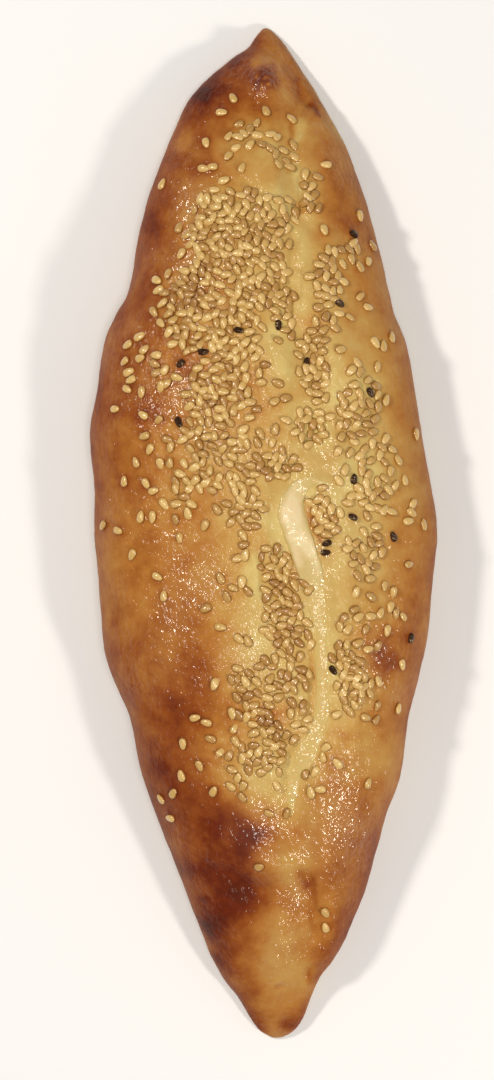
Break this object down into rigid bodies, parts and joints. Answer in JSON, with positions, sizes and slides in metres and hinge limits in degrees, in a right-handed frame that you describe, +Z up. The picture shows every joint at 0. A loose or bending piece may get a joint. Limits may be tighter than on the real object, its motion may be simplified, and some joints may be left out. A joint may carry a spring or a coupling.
{
  "type": "closed cheese manakish",
  "caption": "Boat-shaped closed flatbread with pinched tips, a melted cheese ribbon in its opened seam, and sesame and nigella seeds on a glazed crust.",
  "frame": {"origin": "middle of the underside, on the surface that the loaf rests on", "axes": "+Y along the loaf to its sharper tip, +X to the right of it, +Z up"},
  "size_m": [0.088, 0.2598, 0.0352],
  "materials": {
    "crust": "egg-glazed baked crust, golden to red-brown, soft gloss",
    "cheese": "melted white cheese, smooth and moist",
    "sesame": "toasted sesame, satin",
    "nigella": "black seed, dull with small glints"
  },
  "bodies": {
    "root": {"bread": "crust", "cheese_ribbon": "cheese", "nigella_seed_01": "nigella", "nigella_seed_02": "nigella", "nigella_seed_03": "nigella", "nigella_seed_04": "nigella", "nigella_seed_05": "nigella", "nigella_seed_06": "nigella", "nigella_seed_07": "nigella", "nigella_seed_08": "nigella", "nigella_seed_09": "nigella", "nigella_seed_10": "nigella", "nigella_seed_11": "nigella", "nigella_seed_12": "nigella", "nigella_seed_13": "nigella", "nigella_seed_14": "nigella", "nigella_seed_15": "nigella", "nigella_seed_16": "nigella", "sesame_seed_01": "sesame", "sesame_seed_02": "sesame", "sesame_seed_03": "sesame", "sesame_seed_04": "sesame", "sesame_seed_05": "sesame", "sesame_seed_06": "sesame", "sesame_seed_07": "sesame", "sesame_seed_08": "sesame", "sesame_seed_09": "sesame", "sesame_seed_10": "sesame", "sesame_seed_11": "sesame", "sesame_seed_12": "sesame", "sesame_seed_13": "sesame", "sesame_seed_14": "sesame", "sesame_seed_15": "sesame", "sesame_seed_16": "sesame", "sesame_seed_17": "sesame", "sesame_seed_18": "sesame", "sesame_seed_19": "sesame", "sesame_seed_20": "sesame", "sesame_seed_21": "sesame", "sesame_seed_22": "sesame", "sesame_seed_23": "sesame", "sesame_seed_24": "sesame", "sesame_seed_25": "sesame", "sesame_seed_26": "sesame", "sesame_seed_27": "sesame", "sesame_seed_28": "sesame", "sesame_seed_29": "sesame", "sesame_seed_30": "sesame", "sesame_seed_31": "sesame", "sesame_seed_32": "sesame", "sesame_seed_33": "sesame", "sesame_seed_34": "sesame", "sesame_seed_35": "sesame", "sesame_seed_36": "sesame", "sesame_seed_37": "sesame", "sesame_seed_38": "sesame", "sesame_seed_39": "sesame", "sesame_seed_40": "sesame"}
  },
  "joints": []
}
